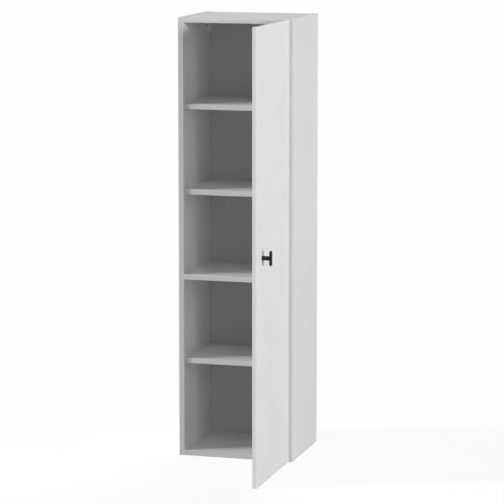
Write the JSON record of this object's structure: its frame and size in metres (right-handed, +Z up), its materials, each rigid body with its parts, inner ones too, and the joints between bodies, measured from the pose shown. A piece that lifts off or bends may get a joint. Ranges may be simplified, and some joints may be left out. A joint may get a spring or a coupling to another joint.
{
  "type": "locker cabinet",
  "caption": "Tall narrow storage cabinet with shelves behind one full-height door on concealed hinges, with a T knob.",
  "frame": {"origin": "middle of the carcass footprint at floor level", "axes": "+X towards the hinge side, +Y towards the wall, +Z up; the closed door faces -Y"},
  "size_m": [0.4218, 0.732, 1.5],
  "materials": {
    "carcass_board": "white melamine-faced chipboard, fine matt",
    "door_board": "white smooth matt lacquered foil on board",
    "back_board": "thin hardboard, white face",
    "white_plastic": "moulded, fine matt",
    "black_metal": "matt black powder coat",
    "nickel_steel": "nickel-plated pressed steel",
    "steel": "zinc-plated",
    "zinc_sheet": "galvanised sheet",
    "zinc": "die-cast zinc alloy, as cast",
    "beech": "beech, raw",
    "soft_bumper": "soft translucent elastomer"
  },
  "bodies": {
    "carcass": {"left_side_panel": "carcass_board", "right_side_panel": "carcass_board", "top_panel": "carcass_board", "bottom_panel": "carcass_board", "fixed_shelf": "carcass_board", "back_panel": "back_board", "back_nails": "steel", "cam_locks": "zinc", "cam_caps": "white_plastic", "cam_bolts": "steel", "dowels": "beech", "upper_shelf": "carcass_board", "middle_shelf": "carcass_board", "lower_shelf": "carcass_board", "upper_shelf_pins": "steel", "middle_shelf_pins": "steel", "lower_shelf_pins": "steel", "left_hanger_cover": "white_plastic", "left_hanger_frame": "zinc_sheet", "left_hanger_hook": "zinc_sheet", "left_hanger_adjuster": "steel", "right_hanger_cover": "white_plastic", "right_hanger_frame": "zinc_sheet", "right_hanger_hook": "zinc_sheet", "right_hanger_adjuster": "steel", "hanger_frame_screws": "steel", "hinge_plates": "nickel_steel", "hinge_plate_screws": "steel", "hinge_arms": "nickel_steel", "hinge_arm_screws": "steel", "hinge_arm_pins": "steel"},
    "levers": {"hinge_levers": "nickel_steel"},
    "door": {"door_panel": "door_board", "hinge_cups": "nickel_steel", "hinge_cup_pins": "steel", "hinge_cup_screws": "steel", "knob_stem": "black_metal", "knob_crossbar": "black_metal", "knob_screw": "steel", "knob_washer": "steel", "door_bumpers": "soft_bumper"}
  },
  "joints": [
    {"name": "lever_swing", "type": "hinge", "parent": "carcass", "child": "levers", "pos_m": [0.16525, -0.15325, 0.75], "axis": [0, 0, 1], "range_deg": [-1.6, 24.7]},
    {"name": "door_swing", "type": "hinge", "parent": "levers", "child": "door", "pos_m": [0.17828, -0.18016, 0.75], "axis": [0, 0, 1], "range_deg": [-114.59, 6.3]}
  ],
  "couplings": [
    {"joint": "lever_swing", "follows": "door_swing", "ratio": -0.21459}
  ]
}
